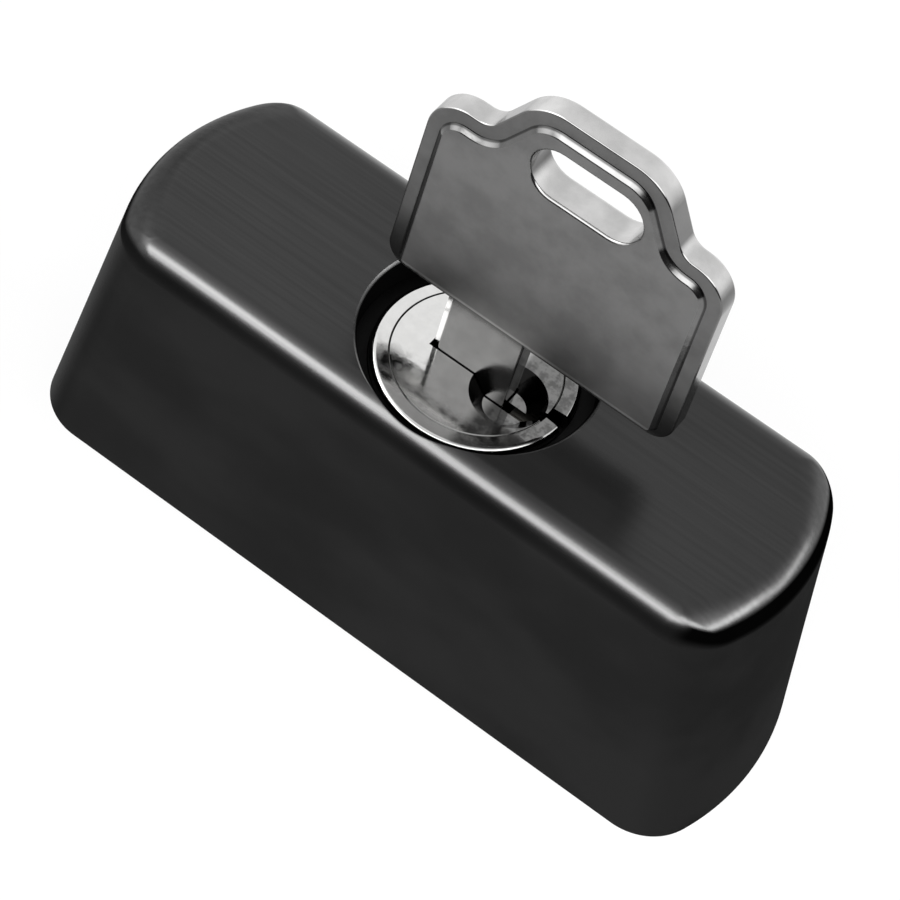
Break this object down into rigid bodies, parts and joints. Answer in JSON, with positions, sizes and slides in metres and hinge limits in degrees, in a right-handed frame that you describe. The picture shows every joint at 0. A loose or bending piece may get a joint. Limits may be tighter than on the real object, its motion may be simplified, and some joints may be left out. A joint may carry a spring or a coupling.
{
  "type": "sliding door lock",
  "caption": "Surface-mounted push-in lock for sliding doors: black box case with bowed ends, bright recessed cylinder and key; pushing the cylinder in drives a round bolt out of the base.",
  "frame": {"origin": "centre of the base, on the door's face and on the axis of the cylinder and its bolt", "axes": "+Z out of the door along the cylinder's axis, +X along the case, +Y across it (the picture looks from -Y)"},
  "size_m": [0.0644, 0.0218, 0.0612],
  "materials": {
    "case": "satin black with a fine brushed grain",
    "bush": "matte black",
    "plate": "zinc plated",
    "steel": "bright steel",
    "barrel": "polished",
    "plug": "polished, lightly mottled",
    "brass": "plain",
    "key": "satin nickel"
  },
  "bodies": {
    "case": {"housing": "case", "guide_bush": "bush", "base_plate": "plate", "base_plate_screws": "steel", "guide_pin": "steel", "return_spring": "steel"},
    "plunger": {"barrel": "barrel", "bolt": "steel", "bolt_screw": "steel", "plug_retaining_pin": "steel"},
    "plug": {"plug": "plug", "cam_pin": "steel", "wafer_springs": "steel"},
    "latch": {"latch": "brass"},
    "key": {"key": "key"},
    "wafer_1": {"wafer_1": "brass"},
    "wafer_2": {"wafer_2": "brass"},
    "wafer_3": {"wafer_3": "brass"},
    "wafer_4": {"wafer_4": "brass"},
    "wafer_5": {"wafer_5": "brass"}
  },
  "joints": [
    {"name": "plunger_slide", "type": "slide", "parent": "case", "child": "plunger", "axis": [0, 0, 1], "range_m": [0, 0.01], "deforming": ["return_spring"]},
    {"name": "plug_turn", "type": "hinge", "parent": "plunger", "child": "plug", "pos_m": [0, 0, 0], "axis": [0, 0, 1], "range_deg": [-90, 0]},
    {"name": "latch_slide", "type": "slide", "parent": "plunger", "child": "latch", "axis": [1, 0, 0], "range_m": [0, 0.00156]},
    {"name": "key_pull", "type": "slide", "parent": "plug", "child": "key", "axis": [0, 0, 1], "range_m": [0, 0.02]},
    {"name": "wafer_1_slide", "type": "slide", "parent": "plug", "child": "wafer_1", "axis": [1, 0, 0], "range_m": [0, 0.0005]},
    {"name": "wafer_2_slide", "type": "slide", "parent": "plug", "child": "wafer_2", "axis": [1, 0, 0], "range_m": [0, 0.0005]},
    {"name": "wafer_3_slide", "type": "slide", "parent": "plug", "child": "wafer_3", "axis": [1, 0, 0], "range_m": [0, 0.0005]},
    {"name": "wafer_4_slide", "type": "slide", "parent": "plug", "child": "wafer_4", "axis": [1, 0, 0], "range_m": [0, 0.0005]},
    {"name": "wafer_5_slide", "type": "slide", "parent": "plug", "child": "wafer_5", "axis": [1, 0, 0], "range_m": [0, 0.0005]}
  ],
  "couplings": [
    {"joint": "latch_slide", "follows": "plug_turn", "m_per_rad": -0.00099035},
    {"joint": "wafer_1_slide", "follows": "key_pull", "ratio": 0.025},
    {"joint": "wafer_2_slide", "follows": "key_pull", "ratio": 0.025},
    {"joint": "wafer_3_slide", "follows": "key_pull", "ratio": 0.025},
    {"joint": "wafer_4_slide", "follows": "key_pull", "ratio": 0.025},
    {"joint": "wafer_5_slide", "follows": "key_pull", "ratio": 0.025}
  ]
}
